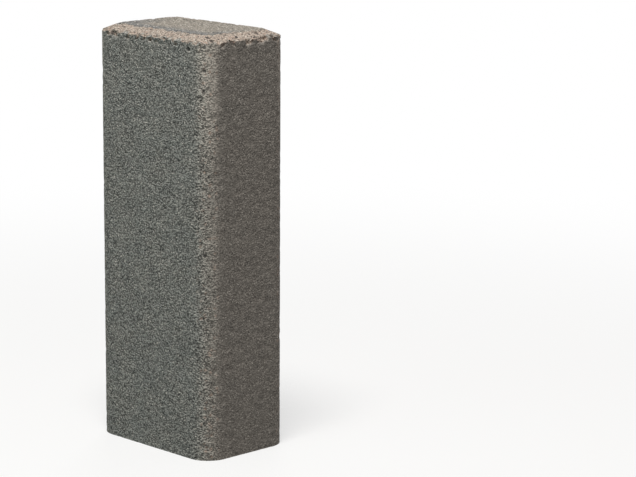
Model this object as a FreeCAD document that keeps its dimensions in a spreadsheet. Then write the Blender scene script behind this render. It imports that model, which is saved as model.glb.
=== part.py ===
import FreeCAD, Part
from enum import IntEnum
import math
import os
import Sketcher

# Palisade block: one piece of cast concrete that stands upright, with rounded upright corners
# and a head that slopes down to all four sides from a shallow dished top.
# X runs along the wide faces, Y through the block and Z up. The origin is the middle of the foot.

NODE = "palisade_block"

# Driving dimensions, in millimetres
SIZES = {
    "block_width": 180.0,       # across the block along X, which is the length of the wide faces
    "block_depth": 120.0,       # across the block along Y, which is the length of the narrow faces
    "block_height": 450.0,      # from the foot to the crest of the head
    "corner_radius": 25.0,      # rounding of the four upright corners
    "border_run": 18.5,         # how far the sloped border reaches in from the side faces
    "border_drop": 7.0,         # how far the sloped border falls from the crest to the sides
    "arris_radius": 1.6,        # rounding where the side faces meet the sloped border
    "crest_radius": 5.0,        # rounding where the sloped border meets the dish
    "dish_run": 14.0,           # how far the dish reaches in from the crest to its floor
    "dish_depth": 1.0,          # how far the floor of the dish lies below the crest
    "dish_corner_radius": 16.0,  # rounding of the corners of the dish's floor
}

# How near two heights must be to count as one, in millimetres
SAME_HEIGHT = 0.001


class At(IntEnum):
    """The sketcher's numbers for the two ends of a curve and for a sketch's own axes."""
    START = 1
    END = 2
    X_AXIS = -1
    Y_AXIS = -2


def make_sheet(doc):
    """Gives every driving dimension a cell of its own, with its name as the alias."""
    sheet = doc.addObject("Spreadsheet::Sheet", "sizes")
    for row, (name, value) in enumerate(SIZES.items(), start=1):
        sheet.set(f"A{row}", name)
        sheet.set(f"B{row}", str(value))
        sheet.setAlias(f"B{row}", name)
    doc.recompute()
    return sheet


def origin_plane(body, role):
    """Finds the plane of the body's own origin that has this role."""
    return next(item for item in body.Origin.OriginFeatures if item.Role == role)


def rounded_rectangle(body, name, height, width, depth, radius):
    """Draws a rounded rectangle about the Z axis. The last four values are rules on the sheet."""
    sketch = body.newObject("Sketcher::SketchObject", name)
    sketch.AttachmentSupport = [(origin_plane(body, "XY_Plane"), "")]
    sketch.MapMode = "FlatFace"
    sketch.setExpression("AttachmentOffset.Base.z", height)

    # A first outline of about the right shape, which the constraints bring to size
    half_x = SIZES["block_width"] / 2
    half_y = SIZES["block_depth"] / 2
    turn = half_y / 4
    in_x = half_x - turn
    in_y = half_y - turn

    def side(x1, y1, x2, y2):
        ends = (FreeCAD.Vector(x, y, 0) for x, y in ((x1, y1), (x2, y2)))
        return sketch.addGeometry(Part.LineSegment(*ends))

    def corner(x, y, quarter):
        circle = Part.Circle(FreeCAD.Vector(x, y, 0), FreeCAD.Vector(0, 0, 1), turn)
        begin = quarter * math.pi / 2
        return sketch.addGeometry(Part.ArcOfCircle(circle, begin, begin + math.pi / 2))

    front = side(-in_x, -half_y, in_x, -half_y)
    right = side(half_x, -in_y, half_x, in_y)
    back = side(in_x, half_y, -in_x, half_y)
    left = side(-half_x, in_y, -half_x, -in_y)
    corners = [corner(in_x, -in_y, 3), corner(in_x, in_y, 0),
               corner(-in_x, in_y, 1), corner(-in_x, -in_y, 2)]

    # Each corner runs smoothly from one side into the next, and all four are alike
    sides = [front, right, back, left]
    for before, turned, after in zip(sides, corners, sides[1:] + sides[:1]):
        sketch.addConstraint(Sketcher.Constraint("Tangent", before, At.END, turned, At.START))
        sketch.addConstraint(Sketcher.Constraint("Tangent", turned, At.END, after, At.START))
    for turned in corners[1:]:
        sketch.addConstraint(Sketcher.Constraint("Equal", corners[0], turned))
    sketch.addConstraint(Sketcher.Constraint("Symmetric", front, At.START, front, At.END, At.Y_AXIS))
    sketch.addConstraint(Sketcher.Constraint("Symmetric", right, At.START, right, At.END, At.X_AXIS))
    sketch.addConstraint(Sketcher.Constraint("Horizontal", back))
    sketch.addConstraint(Sketcher.Constraint("Vertical", left))

    def drive(label, rule, constraint):
        sketch.renameConstraint(sketch.addConstraint(constraint), label)
        sketch.setExpression(f"Constraints.{label}", rule)

    drive("width", width, Sketcher.Constraint("DistanceX", left, At.START, right, At.START, 2 * half_x))
    drive("depth", depth, Sketcher.Constraint("DistanceY", front, At.START, back, At.START, 2 * half_y))
    drive("radius", radius, Sketcher.Constraint("Radius", corners[0], turn))
    return sketch


def ring_at(feature, height):
    """Names the edges of a feature that lie flat at this height."""
    names = []
    for number, edge in enumerate(feature.Shape.Edges, start=1):
        box = edge.BoundBox
        if abs(box.ZMin - height) < SAME_HEIGHT and abs(box.ZMax - height) < SAME_HEIGHT:
            names.append(f"Edge{number}")
    return names


def round_ring(body, base, name, height, radius):
    """Rounds the ring of edges at this height, by a radius that is a rule on the sheet."""
    body.Document.recompute()
    fillet = body.newObject("PartDesign::Fillet", name)
    fillet.Base = (base, ring_at(base, height))
    fillet.setExpression("Radius", radius)
    return fillet


def make_block(doc, sheet):
    """Builds the block: its shaft, the sloped border, the dished top, then the soft edges."""
    body = doc.addObject("PartDesign::Body", NODE)
    body.Label = NODE

    shaft = body.newObject("PartDesign::Pad", "shaft")
    shaft.Profile = rounded_rectangle(
        body, "shaft_outline", "0",
        "sizes.block_width", "sizes.block_depth", "sizes.corner_radius")
    shaft.setExpression("Length", "sizes.block_height")
    doc.recompute()

    border = body.newObject("PartDesign::Chamfer", "sloped_border")
    border.Base = (shaft, ring_at(shaft, sheet.block_height))
    border.ChamferType = "Two distances"
    border.setExpression("Size", "sizes.border_drop")
    border.setExpression("Size2", "sizes.border_run")

    # The dish starts at the crest, where the border's slope ends
    crest = rounded_rectangle(
        body, "crest_outline", "sizes.block_height",
        "sizes.block_width - 2 * sizes.border_run",
        "sizes.block_depth - 2 * sizes.border_run",
        "sizes.corner_radius - sizes.border_run")
    dish_floor = rounded_rectangle(
        body, "dish_floor_outline", "sizes.block_height - sizes.dish_depth",
        "sizes.block_width - 2 * (sizes.border_run + sizes.dish_run)",
        "sizes.block_depth - 2 * (sizes.border_run + sizes.dish_run)",
        "sizes.dish_corner_radius")
    dish = body.newObject("PartDesign::SubtractiveLoft", "dish")
    dish.Profile = crest
    dish.Sections = [dish_floor]
    dish.Ruled = True

    crest_edge = round_ring(body, dish, "soft_crest", sheet.block_height, "sizes.crest_radius")
    arris_height = sheet.block_height - sheet.border_drop
    round_ring(body, crest_edge, "soft_arris", arris_height, "sizes.arris_radius")
    doc.recompute()
    return body


def check(doc, body):
    """Stops here if a feature has failed or the block isn't one sound solid."""
    for item in doc.Objects:
        if "Invalid" in item.State or "Error" in item.State:
            raise RuntimeError(f"{item.Name} failed: {item.State}")
    shape = body.Shape
    if shape.isNull() or not shape.isValid() or len(shape.Solids) != 1:
        raise RuntimeError(f"{body.Label} isn't one valid solid")


def main():
    doc = FreeCAD.newDocument("palisade")
    sheet = make_sheet(doc)
    block = make_block(doc, sheet)
    check(doc, block)
    os.makedirs("parts", exist_ok=True)
    block.Shape.exportStep(f"parts/{block.Label}.step")
    print(f"{block.Label}: {block.Shape.Volume / 1e6:.3f} litres, {block.Shape.BoundBox}")


main()
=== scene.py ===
import math

import bpy
import numpy as np
from mathutils import Matrix, Vector


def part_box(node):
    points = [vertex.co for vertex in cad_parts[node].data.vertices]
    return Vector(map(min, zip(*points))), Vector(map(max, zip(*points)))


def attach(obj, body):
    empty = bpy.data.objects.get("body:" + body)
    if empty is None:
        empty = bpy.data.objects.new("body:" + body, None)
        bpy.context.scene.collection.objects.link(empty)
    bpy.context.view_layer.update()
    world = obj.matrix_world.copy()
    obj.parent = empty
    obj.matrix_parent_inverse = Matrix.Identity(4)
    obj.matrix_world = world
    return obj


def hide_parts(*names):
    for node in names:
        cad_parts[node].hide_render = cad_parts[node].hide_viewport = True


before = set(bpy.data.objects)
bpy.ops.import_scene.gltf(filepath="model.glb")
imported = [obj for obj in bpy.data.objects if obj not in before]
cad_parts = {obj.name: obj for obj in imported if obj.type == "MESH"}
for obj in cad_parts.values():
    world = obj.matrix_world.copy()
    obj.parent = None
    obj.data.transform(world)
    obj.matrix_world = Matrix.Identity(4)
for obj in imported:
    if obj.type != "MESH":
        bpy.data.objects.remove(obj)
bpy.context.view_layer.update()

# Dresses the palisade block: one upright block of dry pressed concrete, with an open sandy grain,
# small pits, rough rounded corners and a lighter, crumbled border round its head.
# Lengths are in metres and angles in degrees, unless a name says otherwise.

NODE = "palisade_block"
LOW, HIGH = (Vector(corner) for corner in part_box(NODE))
SIZE = HIGH - LOW
MIDDLE = (LOW + HIGH) / 2
MM = 0.001
TINY = 1e-9

# The block's form, as its solid has it
CORNER_RADIUS = 25 * MM
BORDER_RUN = 18.5 * MM
BORDER_DROP = 7 * MM
DISH_RUN = 14 * MM
DISH_DEPTH = 1 * MM
CORNER_STEPS = 14

# The skin's net: its step on the shaft, and how far the finer nets of head and arris reach
SKIN_STEP = 2.3 * MM
OCTREE_DEPTH = 8
HEAD_DEPTH = 16 * MM
ARRIS_REACH = 6 * MM
SHARPEST_TURN = 40

# How much of a face's normal points up where the face counts as a top
TOP_NORMAL = 0.9

# How the wear and the painted highlight of the upright corners lean from the wide faces to the narrow
# ones
WEAR_AND_HIGHLIGHT_LEAN = (0.85, 1.3)

# Between which places each zone of wear, and the corners' painted highlight, comes in: distances from
# the arris, past the flat stretches of the faces, and below the arris
ARRIS_FADE = (7 * MM, 1 * MM)
CORNER_FADE = (5 * MM, 14 * MM)
HEAD_FADE = (1 * MM, -1 * MM)
LEAST_SHARE = 0.01

# The photograph's camera
PHOTO_WIDTH_PX = 636
FOCAL_LENGTH_PX = 2600
SENSOR_WIDTH_MM = 36
CAMERA_TURN = 45.69
CAMERA_TILT = 11.64
CAMERA_ROLL = 0.31
CAMERA_DISTANCE = 2.7926
BLOCK_LEFT_OF_AXIS = 0.1358
BLOCK_ABOVE_AXIS = 0.0050


# Modelling helpers

def deselect_all():
    bpy.ops.object.select_all(action="DESELECT")


def select_only(piece):
    deselect_all()
    piece.select_set(True)
    bpy.context.view_layer.objects.active = piece


def edit(piece, mode, chosen):
    """Goes into edit mode with just those edges or faces selected that pass a test."""
    bpy.ops.object.mode_set(mode="EDIT")
    bpy.ops.mesh.select_mode(type=mode)
    bpy.ops.mesh.select_all(action="DESELECT")
    bpy.ops.object.mode_set(mode="OBJECT")
    parts = {"EDGE": piece.data.edges, "FACE": piece.data.polygons}[mode]
    for part in parts:
        part.select = bool(chosen(part))
    bpy.ops.object.mode_set(mode="EDIT")


def apply_modifier(piece, kind, **settings):
    select_only(piece)
    modifier = piece.modifiers.new(kind.title(), kind)
    for name, value in settings.items():
        setattr(modifier, name, value)
    bpy.ops.object.modifier_apply(modifier=modifier.name)


def read_rows(points, name):
    """Reads a vector of every vertex, as rows of x, y and z."""
    rows = np.empty(3 * len(points), dtype=np.float32)
    points.foreach_get(name, rows)
    return rows.reshape(-1, 3)


def smooth_step(low, high, values):
    share = np.clip((values - low) / (high - low), 0, 1)
    return share * share * (3 - 2 * share)


# The block's form

def clean_form():
    """The block as it would leave a perfect mould: shaft, sloped border and dished top."""
    deselect_all()
    shoulder = SIZE.z - BORDER_DROP
    bpy.ops.mesh.primitive_cube_add(
        size=1, location=(MIDDLE.x, MIDDLE.y, LOW.z + shoulder / 2), scale=(SIZE.x, SIZE.y, shoulder))
    block = bpy.context.active_object
    block.name = "palisade_block_skin"
    bpy.ops.object.transform_apply(location=True, rotation=True, scale=True)

    def upright(edge):
        first, last = (block.data.vertices[number].co for number in edge.vertices)
        return abs(first.z - last.z) > shoulder / 2

    edit(block, "EDGE", upright)
    bpy.ops.mesh.bevel(offset=CORNER_RADIUS, segments=CORNER_STEPS, affect="EDGES")
    bpy.ops.object.mode_set(mode="OBJECT")

    edit(block, "FACE", lambda face: face.normal.z > TOP_NORMAL)
    bpy.ops.mesh.inset(thickness=BORDER_RUN, depth=BORDER_DROP)
    bpy.ops.mesh.extrude_region_move(TRANSFORM_OT_translate={"value": (0, 0, -DISH_DEPTH)})
    crest = Vector((SIZE.x - 2 * BORDER_RUN, SIZE.y - 2 * BORDER_RUN))
    bpy.ops.transform.resize(
        value=(1 - 2 * DISH_RUN / crest.x, 1 - 2 * DISH_RUN / crest.y, 1),
        center_override=(MIDDLE.x, MIDDLE.y, HIGH.z))
    bpy.ops.object.mode_set(mode="OBJECT")
    return block


def past_flats(places):
    """How far each place lies past the flat stretch of the wide and of the narrow faces."""
    off_middle = np.abs(places[:, :2] - np.array(MIDDLE.xy))
    return off_middle - (np.array(SIZE.xy) / 2 - CORNER_RADIUS)


def depth_inside(places):
    """How far inside the side faces each place lies, measured level."""
    past = past_flats(places)
    outside = np.linalg.norm(np.maximum(past, 0), axis=1) - CORNER_RADIUS
    return -(outside + np.minimum(past.max(axis=1), 0))


def out_and_up(places):
    """The slanting way out of the arris: level away from the nearest side face, and as much up."""
    level = np.sign(places[:, :2] - np.array(MIDDLE.xy)) * np.maximum(past_flats(places), 0)
    level /= np.maximum(np.linalg.norm(level, axis=1, keepdims=True), TINY)
    return np.column_stack([level, np.ones(len(level))]) / math.sqrt(2)


def divide_skin(block):
    """Covers the form with an even net of faces, finer on the head and finest along its arris."""
    apply_modifier(block, "REMESH", mode="SHARP", octree_depth=OCTREE_DEPTH, sharpness=1,
                   scale=SIZE.z / (SKIN_STEP * 2 ** OCTREE_DEPTH), use_remove_disconnected=False)
    head = HIGH.z - HEAD_DEPTH
    edit(block, "FACE", lambda face: face.center.z > head)
    bpy.ops.mesh.subdivide(number_cuts=1)
    bpy.ops.object.mode_set(mode="OBJECT")

    centres = read_rows(block.data.polygons, "center")
    from_arris = np.hypot(depth_inside(centres), HIGH.z - BORDER_DROP - centres[:, 2])
    edit(block, "FACE", lambda face: from_arris[face.index] < ARRIS_REACH)
    bpy.ops.mesh.subdivide(number_cuts=1)
    bpy.ops.object.mode_set(mode="OBJECT")


# The block's relief

def keep_attribute(block, name, values):
    attribute = block.data.attributes.new(name, "FLOAT", "POINT")
    attribute.data.foreach_set("value", values.astype(np.float32))


def keep_zones(block):
    """Gives every vertex its place on the block, for the material, and its share of each zone."""
    places = read_rows(block.data.vertices, "co")
    inside = depth_inside(places)
    past_corner = (past_flats(places) * WEAR_AND_HIGHLIGHT_LEAN).min(axis=1)
    below_arris = HIGH.z - BORDER_DROP - places[:, 2]
    on_head = smooth_step(*HEAD_FADE, below_arris)
    zones = {
        "arris": smooth_step(*ARRIS_FADE, np.hypot(inside, below_arris)),
        "corners": smooth_step(*CORNER_FADE, past_corner) * (1 - on_head),
        "head": on_head,
    }
    for name, shares in zones.items():
        group = block.vertex_groups.new(name=name)
        for number in np.flatnonzero(shares > LEAST_SHARE):
            group.add([int(number)], float(shares[number]), "REPLACE")
    keep_attribute(block, "below_arris_mm", below_arris / MM)
    keep_attribute(block, "inside_mm", inside / MM)
    keep_attribute(block, "corner_wear_and_highlight", zones["corners"])
    return zones


def noise_texture(kind, grain, layers, contrast, brightness):
    texture = bpy.data.textures.new(kind.lower(), kind)
    texture.noise_scale = grain
    texture.contrast = contrast
    texture.intensity = brightness
    if kind == "CLOUDS":
        texture.noise_depth = layers
    return texture


# What sinks the skin: kind of noise, size, layers, contrast, brightness, depth and zone
RELIEF = [
    ("CLOUDS", 42 * MM, 1, 1.0, 1.25, 0.5 * MM, ""),
    ("CLOUDS", 4.4 * MM, 1, 1.6, 1.2, 0.12 * MM, ""),
    ("CLOUDS", 5.0 * MM, 1, 2.0, 1.2, 0.4 * MM, "corners"),
    ("CLOUDS", 3.0 * MM, 1, 1.8, 1.25, 0.5 * MM, "head"),
    ("CLOUDS", 7.0 * MM, 1, 3.4, 1.15, 3.2 * MM, "arris"),
    ("CLOUDS", 3.0 * MM, 1, 2.5, 1.1, 1.2 * MM, "arris"),
    ("VORONOI", 9.0 * MM, 0, 4.0, 2.0, 1.8 * MM, "arris"),
    ("VORONOI", 8.0 * MM, 0, 4.0, 2.0, 0.5 * MM, ""),
]

# The few pits that stand out round the arris: middle, radius and depth, in whole millimetres
LONE_PITS_MM = [
    ((-59, -59, 443), 4, 3),
    ((-71, -48, 447), 3, 2),
    ((64, -60, 436), 3, 2),
    ((82, -44, 446), 3, 2),
    ((90, -22, 443), 4, 3),
    ((78, 22, 448), 3, 2),
    ((87, 36, 444), 3, 2),
]

# How much of a lone pit's radius its floor takes up
PIT_FLOOR = 0.4


def roughen(block):
    """Gives the skin its waves, grains, pits and crumbled edges. The modifiers add up how deep each
    place sinks, as a drop in height. Each place is then pressed in by that much along its own
    normal, and near the arris along the slanting way, so that the chips cut the arris off."""
    arris = keep_zones(block)["arris"][:, None]
    before = read_rows(block.data.vertices, "co")
    outward = read_rows(block.data.vertices, "normal")
    outward = outward * (1 - arris) + out_and_up(before) * arris
    outward /= np.linalg.norm(outward, axis=1, keepdims=True)
    for kind, grain, layers, contrast, brightness, depth, zone in RELIEF:
        texture = noise_texture(kind, grain, layers, contrast, brightness)
        apply_modifier(block, "DISPLACE", texture=texture, texture_coords="LOCAL", direction="Z",
                       strength=depth, mid_level=1, vertex_group=zone)
    depth = np.maximum(before[:, 2] - read_rows(block.data.vertices, "co")[:, 2], 0)
    pitted = np.zeros(len(depth))
    for middle, radius, hollow in LONE_PITS_MM:
        away = np.linalg.norm(before / MM - middle, axis=1)
        share = smooth_step(radius, PIT_FLOOR * radius, away)
        depth = np.maximum(depth, hollow * MM * share)
        pitted = np.maximum(pitted, share)
    keep_attribute(block, "lone_pit", pitted)
    keep_attribute(block, "sunk_mm", depth / MM)
    after = np.clip(before - outward * depth[:, None], LOW, HIGH)
    on_foot = before[:, 2] < LOW.z + SKIN_STEP / 2
    after[on_foot, 2] = LOW.z
    block.data.vertices.foreach_set("co", after.ravel())
    block.data.update()
    bpy.ops.object.shade_smooth_by_angle(angle=math.radians(SHARPEST_TURN))


# Material helpers

def add_node(tree, kind, inputs, **settings):
    """Adds a node. Each input is a plain value, or the socket of another node that feeds it."""
    node = tree.nodes.new("ShaderNode" + kind)
    for name, value in settings.items():
        setattr(node, name, value)
    feed(tree, node, inputs)
    return node


def feed(tree, node, inputs):
    for key, value in inputs.items():
        if isinstance(value, bpy.types.NodeSocket):
            tree.links.new(value, node.inputs[key])
        else:
            node.inputs[key].default_value = value


def place_group(tree, group, inputs):
    """Places a node group in a tree, and gives its outputs."""
    node = tree.nodes.new("ShaderNodeGroup")
    node.node_tree = group
    feed(tree, node, inputs)
    return node.outputs


def math_of(tree, operation, *values):
    return add_node(tree, "Math", dict(enumerate(values)), operation=operation).outputs[0]


def product(tree, first, second):
    return math_of(tree, "MULTIPLY", first, second)


def line_of(tree, value, slope, start):
    """A value times a slope, plus where the line starts."""
    return math_of(tree, "MULTIPLY_ADD", value, slope, start)


def vector_of(tree, operation, first, second):
    return add_node(tree, "VectorMath", {0: first, 1: second}, operation=operation).outputs[0]


def scaled(tree, vector, share):
    return add_node(tree, "VectorMath", {0: vector, "Scale": share}, operation="SCALE").outputs[0]


def told(tree, name):
    """Reads the number that the skin's vertices keep under this name."""
    return add_node(tree, "Attribute", {}, attribute_name=name).outputs["Fac"]


def ramp_of(tree, value, low, high, from_value=0.0, to_value=1.0):
    """Runs smoothly from one value to another while its input runs from low to high."""
    return add_node(tree, "MapRange", {"Value": value, "From Min": low, "From Max": high,
                                       "To Min": from_value, "To Max": to_value},
                    interpolation_type="SMOOTHSTEP").outputs["Result"]


def noise_of(tree, position, per_metre, detail=0.0):
    """Smooth noise between about 0.25 and 0.75, with this many waves to the metre."""
    return add_node(
        tree, "TexNoise", {"Vector": position, "Scale": per_metre, "Detail": detail}).outputs


def blend_of(tree, share, first, second):
    """Blends two colours, each a plain colour or a socket."""
    return add_node(tree, "Mix", {0: share, 6: first, 7: second}, data_type="RGBA").outputs[2]


def new_group(name, inputs, outputs):
    """Starts a node group. Its inputs are a position and named numbers, its outputs are numbers."""
    group = bpy.data.node_groups.new(name, "ShaderNodeTree")
    group.interface.new_socket("Position", in_out="INPUT", socket_type="NodeSocketVector")
    for label, value in inputs.items():
        socket = group.interface.new_socket(label, in_out="INPUT", socket_type="NodeSocketFloat")
        socket.default_value = value
    for label in outputs:
        group.interface.new_socket(label, in_out="OUTPUT", socket_type="NodeSocketFloat")
    given = group.nodes.new("NodeGroupInput").outputs
    result = group.nodes.new("NodeGroupOutput").inputs
    return group, given, result


# The concrete's colours: the paste of each zone, then what lies in the paste
SIDE_PASTE_DARK = (0.33, 0.325, 0.302, 1)
SIDE_PASTE_LIGHT = (0.36, 0.345, 0.315, 1)
END_PASTE = (0.365, 0.325, 0.285, 1)
# Painted highlight on the upright corners
CORNER_HIGHLIGHT_PASTE = (0.61, 0.555, 0.49, 1)
HEAD_PASTE = (0.325, 0.295, 0.253, 1)
# Painted shade of the dish, just inside the crest
DISH_SHADE_PASTE = (0.205, 0.203, 0.197, 1)
BORDER_PASTE = (0.45, 0.375, 0.317, 1)
LIGHT_GRAIN = (0.78, 0.73, 0.65, 1)
PINK_GRAIN = (0.66, 0.45, 0.35, 1)
# Near-black painted shade in the pores and lone pits
PORE_SHADE = (0.035, 0.035, 0.035, 1)

# How many grains of gravel and sand and waves of grit and dust lie along a metre, and how far the
# grains' edges stray
GRAVEL = 270.0
GRIT = 470.0
SAND = 500.0
DUST = 690.0
EDGE_STRAY = 1.3 * MM

# Between which places the zones of colour fade: millimetres in from the sides or below the arris,
# or metres from the block's middle
BORDER_FADE_MM = (19.0, 16.0)
# Painted shade of the dish, fading in from the sides
DISH_SHADE_FADE_MM = (50.0, 28.0)
HIGH_UP_FADE_MM = (150.0, 5.0)
# Painted shade of the dish, fading out towards the back so that it lies on the front half only
DISH_SHADE_FRONT_FADE = (0.04, -0.035)
END_FADE = (0.076, 0.088)

# How far the border's ragged edges wander, and how far its bare sand reaches down for each
# millimetre that the arris is chipped
RAGGED_MM = (14.0, -6.2)
SAND_REACH = 2.0


def stray(tree, position, per_metre, reach):
    """Moves a position about a little, so that grains lose their straight edges."""
    noise = noise_of(tree, position, per_metre, 1.0)["Color"]
    centred = vector_of(tree, "SUBTRACT", noise, (0.5, 0.5, 0.5))
    return vector_of(tree, "ADD", position, scaled(tree, centred, reach))


def sand_grain_group():
    """Sand grains pressed together: a chance for each grain, and how near its crown each place is."""
    group, given, result = new_group("sand grain", {"Grains per metre": SAND}, ["Chance", "Crown"])
    place = stray(group, given["Position"], SAND, EDGE_STRAY)
    grains = add_node(group, "TexVoronoi", {"Vector": place, "Scale": given["Grains per metre"]})
    chance = add_node(group, "SeparateColor", {"Color": grains.outputs["Color"]}).outputs["Red"]
    group.links.new(chance, result["Chance"])
    group.links.new(ramp_of(group, grains.outputs["Distance"], 0.78, 0.1), result["Crown"])
    return group


def zones_of_block(tree, position):
    """Tells how far each place is on the head, its border, the painted shade of the dish just inside
    the crest on the front half, a corner with its wear and painted highlight, the upper part and an
    end face. The bare sand of the border reaches down into the arris as far as that is chipped."""
    along = add_node(tree, "SeparateXYZ", {0: position}).outputs
    teeth = noise_of(tree, position, 150.0, 3.0)["Fac"]
    edge_mm = line_of(tree, teeth, *RAGGED_MM)
    below_arris = math_of(tree, "ADD", told(tree, "below_arris_mm"), edge_mm)
    below_arris = line_of(tree, told(tree, "sunk_mm"), -SAND_REACH, below_arris)
    head = ramp_of(tree, below_arris, 0.5, -0.5)
    inside = math_of(tree, "ADD", told(tree, "inside_mm"), edge_mm)
    border = product(tree, head, ramp_of(tree, inside, *BORDER_FADE_MM))
    # Noise that breaks up the painted shade of the dish
    shade_breakup = noise_of(tree, position, 45.0, 2.0)["Fac"]
    # Painted shade of the dish, just inside the crest, on the front half only
    dish_shade = product(tree, head, ramp_of(tree, inside, *reversed(BORDER_FADE_MM)))
    dish_shade = product(tree, dish_shade, ramp_of(tree, inside, *DISH_SHADE_FADE_MM))
    dish_shade = product(tree, dish_shade, ramp_of(tree, along["Y"], *DISH_SHADE_FRONT_FADE))
    dish_shade = product(tree, dish_shade, ramp_of(tree, shade_breakup, 0.2, 0.44))
    near_end = ramp_of(tree, math_of(tree, "ABSOLUTE", along["X"]), *END_FADE)
    return {
        "head": head,
        "border": border,
        "dish_shade": dish_shade,
        "corners": told(tree, "corner_wear_and_highlight"),
        "high_up": ramp_of(tree, told(tree, "below_arris_mm"), *HIGH_UP_FADE_MM),
        "ends": product(tree, near_end, ramp_of(tree, head, 0.5, 0.0)),
    }


def paste_colour(tree, position, zones):
    """The paste between the grains: mottled, browner on the ends, with a painted highlight on the
    upright corners that is strongest high up, and bare on the border.
    """
    mottle = ramp_of(tree, noise_of(tree, position, 32.0, 2.0)["Fac"], 0.3, 0.7)
    paste = blend_of(tree, mottle, SIDE_PASTE_DARK, SIDE_PASTE_LIGHT)
    # A painted highlight on the upright corners, strongest high up
    corner_highlight = product(tree, zones["corners"], line_of(tree, zones["high_up"], 0.6, 0.36))
    for share, colour in (
            (product(tree, zones["ends"], 0.65), END_PASTE),
            (corner_highlight, CORNER_HIGHLIGHT_PASTE),
            (zones["head"], HEAD_PASTE),
            # painted shade of the dish
            (zones["dish_shade"], DISH_SHADE_PASTE),
            (zones["border"], BORDER_PASTE)):
        paste = blend_of(tree, share, paste, colour)
    return paste


def openness_of_grain(tree, position, zones):
    """How deep the gaps between the grains are, and how strong the painted shade in them and the
    painted highlight on the crowns: most on the corners, least on the ends.
    """
    patches = ramp_of(tree, noise_of(tree, position, 60.0, 1.0)["Fac"], 0.3, 0.7, 0.95, 1.3)
    openness = product(tree, patches, line_of(tree, zones["ends"], -0.5, 1.0))
    corner_more = line_of(tree, zones["high_up"], -0.3, 0.42)
    openness = line_of(tree, zones["corners"], corner_more, openness)
    return product(tree, openness, line_of(tree, zones["head"], -0.15, 1.0))


def grains_and_pores(tree, position, zones):
    """Gives how near a grain's crown each place is, then the shares of light grains, pink grains
    and pores. The pink grains and the coarse pores lie on border and corners only."""
    group = sand_grain_group()

    def grain(per_metre):
        return place_group(tree, group, {"Position": position, "Grains per metre": per_metre})

    def specks(per_metre):
        return ramp_of(tree, noise_of(tree, position, per_metre)["Fac"], 0.3, 0.7)

    sand, gravel = grain(SAND), grain(GRAVEL)
    crown = line_of(tree, sand["Crown"], 0.30, product(tree, specks(GRIT), 0.35))
    crown = line_of(tree, specks(DUST), 0.35, crown)

    on_crown = ramp_of(tree, sand["Crown"], 0.3, 0.7)
    light = product(tree, ramp_of(tree, sand["Chance"], 0.84, 0.9), on_crown)
    light = product(tree, light, line_of(tree, zones["ends"], -0.35, 0.8))
    coarse = math_of(tree, "MAXIMUM", zones["corners"], zones["border"])
    pink = product(tree, ramp_of(tree, gravel["Chance"], 0.84, 0.9), gravel["Crown"])
    pink = product(tree, pink, coarse)

    fine_pores = product(tree, ramp_of(tree, sand["Chance"], 0.125, 0.07),
                         ramp_of(tree, sand["Crown"], 0.1, 0.5))
    coarse_pores = product(tree, ramp_of(tree, gravel["Chance"], 0.045, 0.02), coarse)
    coarse_pores = product(tree, coarse_pores, ramp_of(tree, gravel["Crown"], 0.1, 0.5))
    pores = math_of(tree, "MAXIMUM", fine_pores, coarse_pores)
    pores = product(tree, pores, line_of(tree, zones["ends"], -0.45, 1.0))
    pores = math_of(tree, "MAXIMUM", pores, told(tree, "lone_pit"))
    return crown, light, pink, pores


def concrete():
    """Dry pressed concrete: grey sides, browner head, bare warm sand on border and corners, a painted
    highlight on the corners, and painted shade in the dish, the pores and between the grains.
    """
    material = bpy.data.materials.new("pressed concrete")
    material.use_nodes = True
    tree = material.node_tree
    shader = tree.nodes["Principled BSDF"]
    position = tree.nodes.new("ShaderNodeTexCoord").outputs["Object"]
    zones = zones_of_block(tree, position)
    openness = openness_of_grain(tree, position, zones)
    crown, light, pink, pores = grains_and_pores(tree, position, zones)

    # Painted shade in the gaps between the grains and painted highlight on their crowns, as strong as
    # the grain is open
    shade = ramp_of(tree, crown, 0.2, 0.75, -0.38, 0.36)
    colour = scaled(tree, paste_colour(tree, position, zones), line_of(tree, shade, openness, 0.97))
    colour = blend_of(tree, light, colour, LIGHT_GRAIN)
    colour = blend_of(tree, product(tree, pink, 0.5), colour, PINK_GRAIN)
    # The pores and lone pits are painted near black: painted shade in the hollows
    colour = blend_of(tree, product(tree, pores, 0.85), colour, PORE_SHADE)
    tree.links.new(colour, shader.inputs["Base Color"])

    # Height, in millimetres
    height = product(tree, line_of(tree, pores, -0.6, crown), openness)
    bump = add_node(tree, "Bump", {"Height": height, "Strength": 0.9, "Distance": MM})
    tree.links.new(bump.outputs["Normal"], shader.inputs["Normal"])

    tree.links.new(ramp_of(tree, crown, 0.0, 1.0, 0.97, 0.82), shader.inputs["Roughness"])
    shader.inputs["Specular IOR Level"].default_value = 0.25
    return material


def make_block():
    block = clean_form()
    divide_skin(block)
    roughen(block)
    block.data.materials.append(concrete())
    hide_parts(NODE)
    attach(block, "root")
    return block


# Floor, light and camera

def camera_ray_mix(tree, unseen, seen):
    """Gives one shader to the light in the scene, and another to whatever looks at it."""
    path = tree.nodes.new("ShaderNodeLightPath").outputs
    looked_at = math_of(tree, "MAXIMUM", path["Is Camera Ray"], path["Is Glossy Ray"])
    looked_at = math_of(tree, "MAXIMUM", looked_at, path["Is Transmission Ray"])
    return add_node(tree, "MixShader", {0: looked_at, 1: unseen.outputs[0], 2: seen.outputs[0]})


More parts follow.
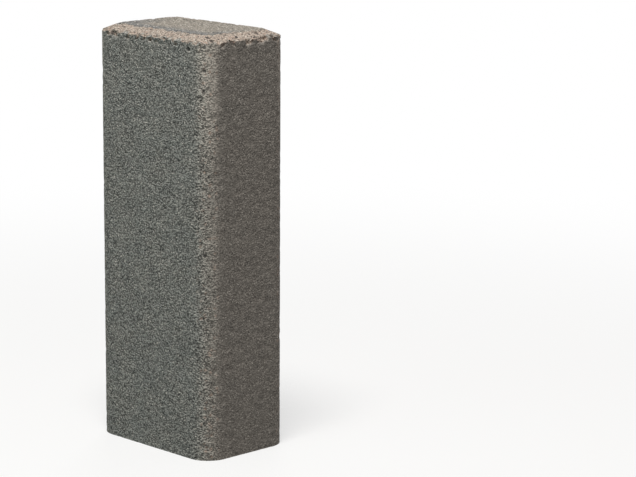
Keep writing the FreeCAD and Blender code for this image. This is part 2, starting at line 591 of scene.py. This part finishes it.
def make_floor():
    deselect_all()
    bpy.ops.mesh.primitive_plane_add(size=40, location=(MIDDLE.x, MIDDLE.y, LOW.z))
    floor = bpy.context.active_object
    floor.name = "floor"
    material = bpy.data.materials.new("pale floor")
    material.use_nodes = True
    tree = material.node_tree
    tree.nodes.clear()
    position = tree.nodes.new("ShaderNodeTexCoord").outputs["Object"]
    away = add_node(tree, "VectorMath", {0: position}, operation="LENGTH").outputs["Value"]
    lit_share = ramp_of(tree, away, 0.3, 1.6, 0.4, 0.0)
    unseen = add_node(tree, "BsdfDiffuse", {"Color": (0.16, 0.16, 0.16, 1)})
    lit = add_node(tree, "BsdfDiffuse", {"Color": (1, 1, 1, 1)})
    white = add_node(tree, "Emission", {"Color": (1, 1, 1, 1), "Strength": 1.0})
    seen = add_node(tree, "MixShader", {0: lit_share, 1: white.outputs[0], 2: lit.outputs[0]})
    out = tree.nodes.new("ShaderNodeOutputMaterial")
    tree.links.new(camera_ray_mix(tree, unseen, seen).outputs[0], out.inputs["Surface"])
    floor.data.materials.append(material)


def add_softbox(name, turn, height, distance, width, watts, colour):
    """A square lamp that faces the block from this turn round it and this angle above it."""
    lamp = bpy.data.objects.new(name, bpy.data.lights.new(name, "AREA"))
    bpy.context.scene.collection.objects.link(lamp)
    lamp.data.size = width
    lamp.data.energy = watts
    lamp.data.color = colour
    aim = (Matrix.Rotation(math.radians(turn), 4, "Z")
           @ Matrix.Rotation(math.radians(90 - height), 4, "X"))
    lamp.matrix_world = Matrix.Translation(MIDDLE + aim.to_3x3() @ Vector((0, 0, distance))) @ aim


def make_light():
    """A soft lamp high over the camera, a weak cool one on the left and a weak one behind."""
    add_softbox("over the camera", turn=34, height=71, distance=2.6, width=0.8, watts=50,
                colour=(1, 0.98, 0.95))
    add_softbox("left fill", turn=-8, height=8, distance=2.5, width=1.0, watts=5.0,
                colour=(0.42, 0.84, 0.83))
    add_softbox("behind", turn=222, height=25, distance=3.0, width=1.2, watts=14, colour=(1, 1, 1))
    world = bpy.data.worlds.new("studio")
    bpy.context.scene.world = world
    world.use_nodes = True
    tree = world.node_tree
    tree.nodes.clear()
    soft = add_node(tree, "Background", {"Color": (1, 0.98, 0.96, 1), "Strength": 0.24})
    white = add_node(tree, "Background", {"Color": (1, 1, 1, 1), "Strength": 1.0})
    out = tree.nodes.new("ShaderNodeOutputWorld")
    tree.links.new(camera_ray_mix(tree, soft, white).outputs[0], out.inputs["Surface"])


def make_camera():
    """Sees the block as the photograph does, with no shift."""
    camera = bpy.data.objects.new("camera", bpy.data.cameras.new("camera"))
    bpy.context.scene.collection.objects.link(camera)
    camera.data.sensor_width = SENSOR_WIDTH_MM
    camera.data.lens = SENSOR_WIDTH_MM * FOCAL_LENGTH_PX / PHOTO_WIDTH_PX
    aim = (Matrix.Rotation(math.radians(CAMERA_TURN), 4, "Z")
           @ Matrix.Rotation(math.radians(90 - CAMERA_TILT), 4, "X")
           @ Matrix.Rotation(math.radians(CAMERA_ROLL), 4, "Z"))
    from_block = Vector((BLOCK_LEFT_OF_AXIS, -BLOCK_ABOVE_AXIS, CAMERA_DISTANCE))
    camera.matrix_world = Matrix.Translation(MIDDLE + aim.to_3x3() @ from_block) @ aim
    bpy.context.scene.camera = camera


block = make_block()
print("block: triangles", sum(len(face.vertices) - 2 for face in block.data.polygons))
make_floor()
make_light()
make_camera()
bpy.context.scene.view_settings.view_transform = "Standard"
